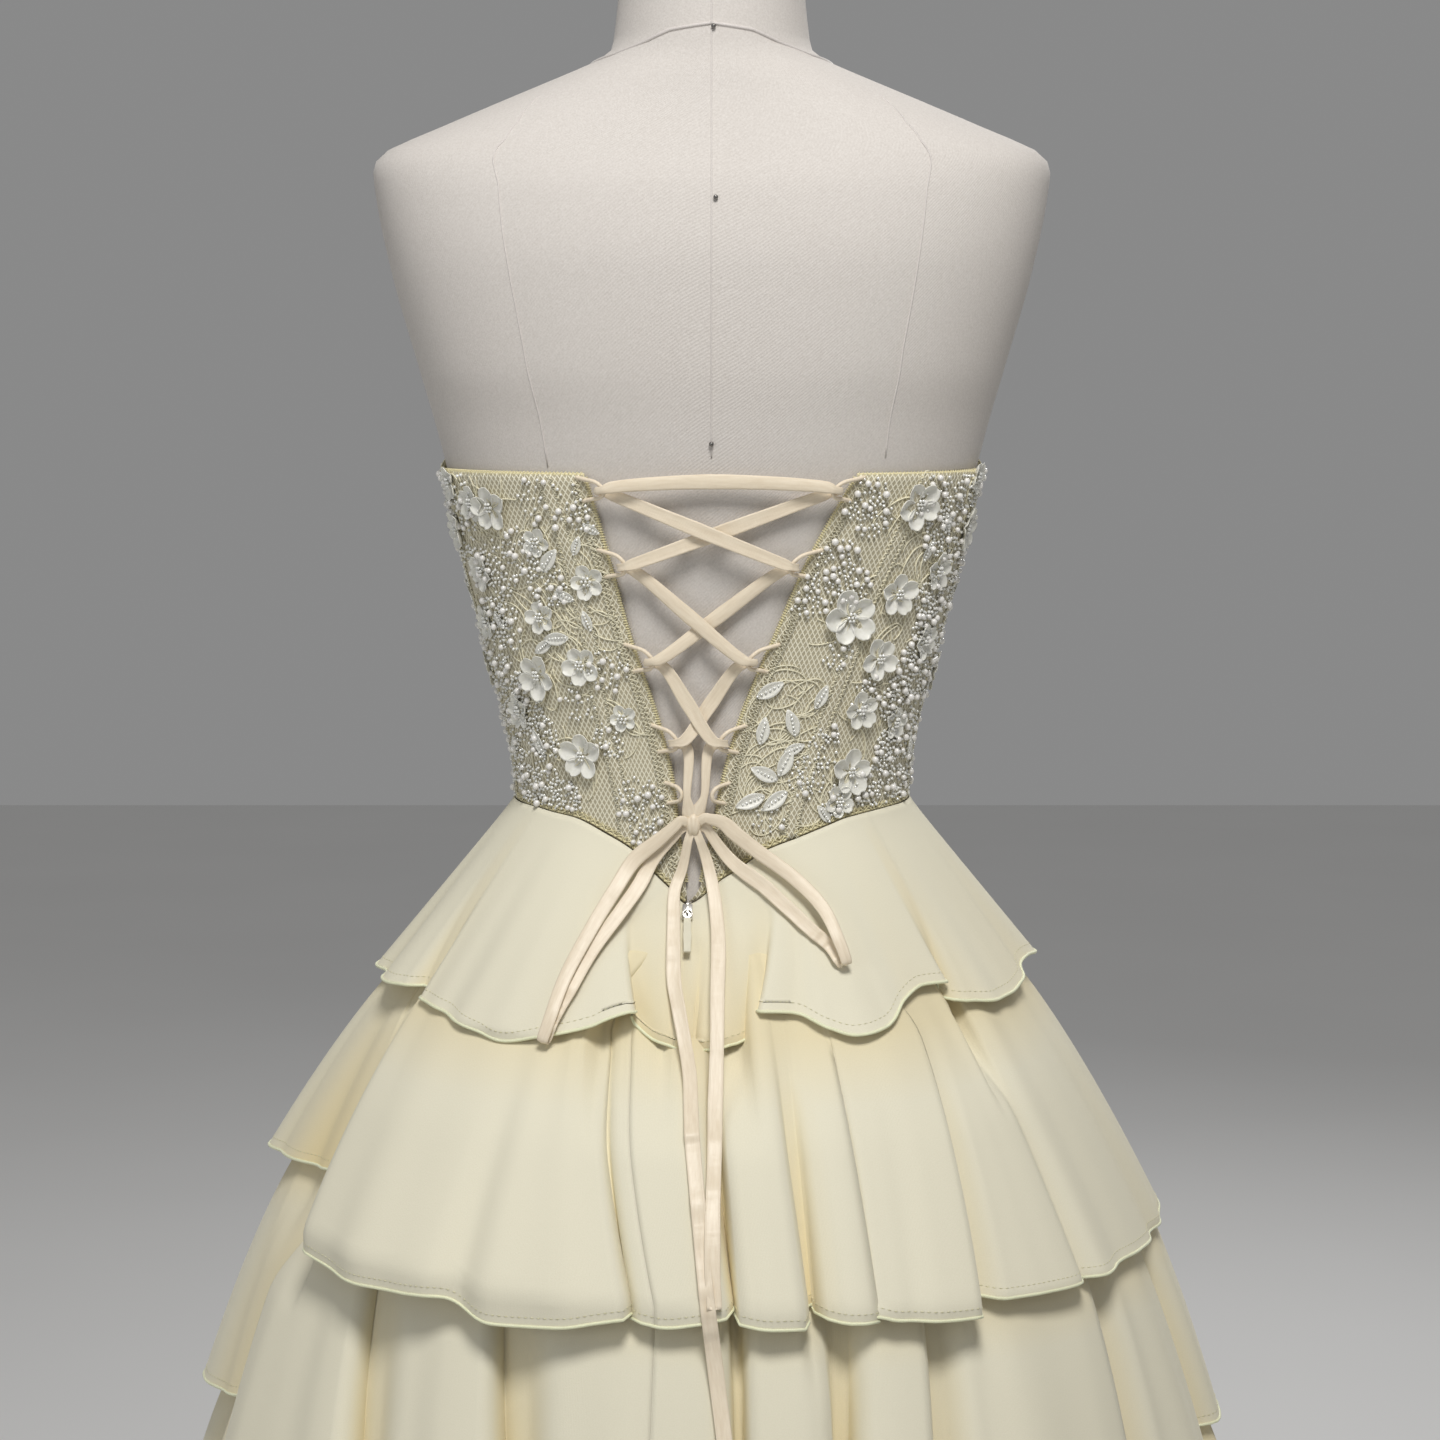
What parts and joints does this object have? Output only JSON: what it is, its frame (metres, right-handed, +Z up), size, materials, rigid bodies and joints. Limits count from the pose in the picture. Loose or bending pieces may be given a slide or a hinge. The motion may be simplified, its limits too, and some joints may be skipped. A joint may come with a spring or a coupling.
{
  "type": "homecoming dress on a limbless dress form",
  "caption": "Short strapless dress with a lace-up corset bodice and tiered chiffon skirt, on a dress form with a round-based stand.",
  "frame": {"origin": "centre of the stand's underside, on the floor", "axes": "+Z up; the back of the dress faces -Y, and +X is on the right of that view"},
  "size_m": [0.6347, 0.6175, 1.456],
  "materials": {
    "form_cloth": "matte linen cloth",
    "stand_metal": "satin",
    "lace": "embroidered net over cream",
    "chiffon": "matte crepe chiffon",
    "satin": "satin ribbon",
    "zip_metal": "satin"
  },
  "bodies": {
    "dress": {"dress_form": "form_cloth", "stand_base": "stand_metal", "stand_pole": "stand_metal", "underskirt": "chiffon", "lacing_ribbon": "satin", "bow_knot": "satin", "bow_loop_left": "satin", "bow_loop_right": "satin", "tail_left": "satin", "tail_right": "satin", "zip_slider": "zip_metal", "tier_1_back_left": "chiffon", "tier_1_back_right": "chiffon", "tier_1_front": "chiffon", "tier_2_back_left": "chiffon", "tier_2_back_right": "chiffon", "tier_2_front": "chiffon", "tier_3_back_left": "chiffon", "tier_3_back_right": "chiffon", "tier_3_front": "chiffon", "tier_4_back_left": "chiffon", "tier_4_back_right": "chiffon", "tier_4_front": "chiffon", "bodice_back_left": "lace", "bodice_back_right": "lace", "bodice_side_right": "lace", "bodice_side_front_right": "lace", "bodice_centre_front": "lace", "bodice_side_front_left": "lace", "bodice_side_left": "lace", "loop_left_1": "satin", "loop_right_1": "satin", "loop_left_2": "satin", "loop_right_2": "satin", "loop_left_3": "satin", "loop_right_3": "satin", "loop_left_4": "satin", "loop_right_4": "satin", "loop_left_5": "satin", "loop_right_5": "satin"},
    "pull": {"zip_pull": "chiffon"}
  },
  "joints": [
    {"name": "pull_swing", "type": "hinge", "parent": "dress", "child": "pull", "pos_m": [-0.0126, -0.10957, 0.95386], "axis": [-1, 0, 0], "range_deg": [0, 140]}
  ]
}
